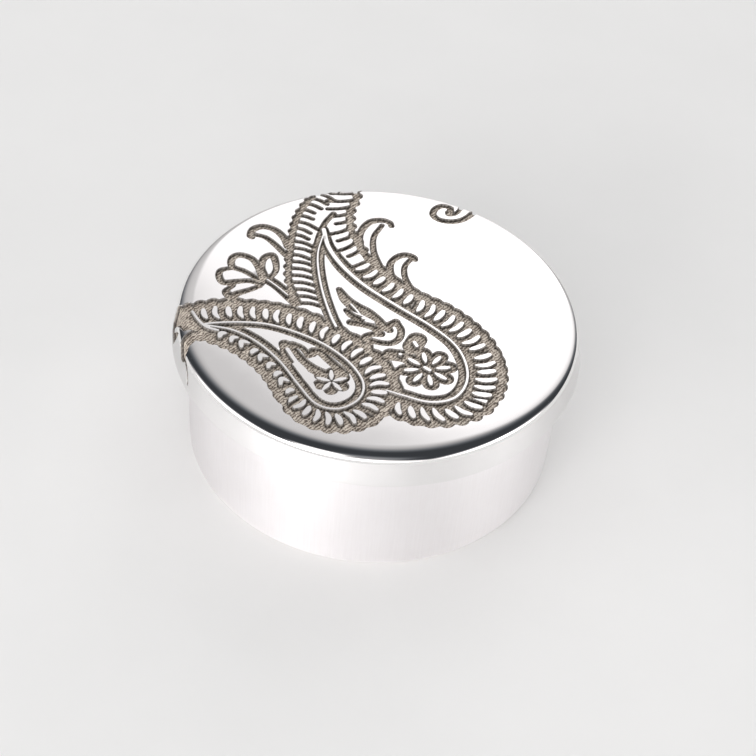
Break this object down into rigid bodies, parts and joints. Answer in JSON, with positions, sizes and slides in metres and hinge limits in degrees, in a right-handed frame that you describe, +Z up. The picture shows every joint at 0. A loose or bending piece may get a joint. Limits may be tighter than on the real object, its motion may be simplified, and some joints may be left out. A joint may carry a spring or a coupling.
{
  "type": "pill box",
  "caption": "Round two-piece pill box in white metal: a satin cup with a rounded foot and a flat polished slip-on lid with an overhanging skirt.",
  "frame": {"origin": "centre of the flat face that the box stands on", "axes": "+Z up, along the box's round axis; +X to the right and -Y to the front as the lid's design is looked at"},
  "size_m": [0.05, 0.05, 0.0208],
  "materials": {
    "satin_metal": "satin, finely brushed along the axis, warm silver-white",
    "polished_metal": "mirror-polished top and rounded edge over a satin skirt, with a recessed blackened paisley design"
  },
  "bodies": {
    "cup": {"cup": "satin_metal"},
    "lid": {"lid": "polished_metal"}
  },
  "joints": [
    {"name": "lid_lift", "type": "slide", "parent": "cup", "child": "lid", "axis": [0, 0, 1], "range_m": [0, 0.03]}
  ]
}
